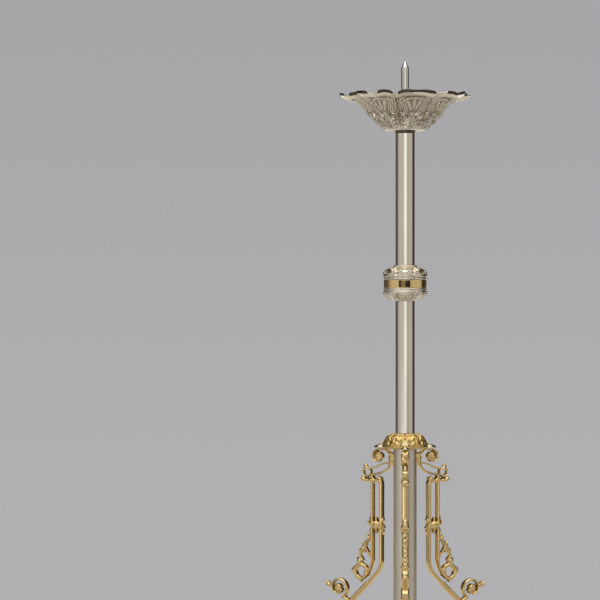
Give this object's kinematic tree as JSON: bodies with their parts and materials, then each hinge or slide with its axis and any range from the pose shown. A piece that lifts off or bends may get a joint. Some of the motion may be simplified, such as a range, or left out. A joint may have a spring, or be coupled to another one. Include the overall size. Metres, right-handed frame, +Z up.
{
  "type": "paschal candlestick",
  "caption": "Tall floor candlestick with a spiked, petalled drip pan on a banded tubular stem, carried by a wider column and a tripod of cast openwork scroll legs.",
  "frame": {"origin": "on the floor at the middle of the object's plan, 41.6 mm in front of the stem's axis", "axes": "+Z up along the stem towards the pricket, -Y towards the front leg, +X to the right of someone who faces the front leg"},
  "size_m": [0.3242, 0.2808, 1.1],
  "materials": {
    "silver_plate": "polished silver plate, a little warm",
    "gilt_brass": "polished gilt brass, with darker hollows",
    "bright_steel": "bright turned steel",
    "plain_brass": "plain turned brass, dulled",
    "glide_felt": "dark pressed felt"
  },
  "bodies": {
    "root": {"pricket": "bright_steel", "candle_seat": "silver_plate", "drip_pan": "silver_plate", "pan_collar": "plain_brass", "upper_tube": "silver_plate", "knop_upper_cup": "silver_plate", "knop_upper_ring": "silver_plate", "knop_band": "gilt_brass", "knop_lower_ring": "silver_plate", "knop_lower_cup": "silver_plate", "lower_tube": "silver_plate", "crown": "gilt_brass", "column_top_plug": "plain_brass", "column_tube": "silver_plate", "column_foot_plug": "plain_brass", "column_ferrule": "gilt_brass", "drop_finial": "gilt_brass", "tie_rod": "bright_steel", "leg_front": "gilt_brass", "upper_leg_screw_front": "gilt_brass", "lower_leg_screw_front": "gilt_brass", "foot_glide_front": "glide_felt", "leg_right": "gilt_brass", "upper_leg_screw_right": "gilt_brass", "lower_leg_screw_right": "gilt_brass", "foot_glide_right": "glide_felt", "leg_left": "gilt_brass", "upper_leg_screw_left": "gilt_brass", "lower_leg_screw_left": "gilt_brass", "foot_glide_left": "glide_felt"}
  },
  "joints": []
}
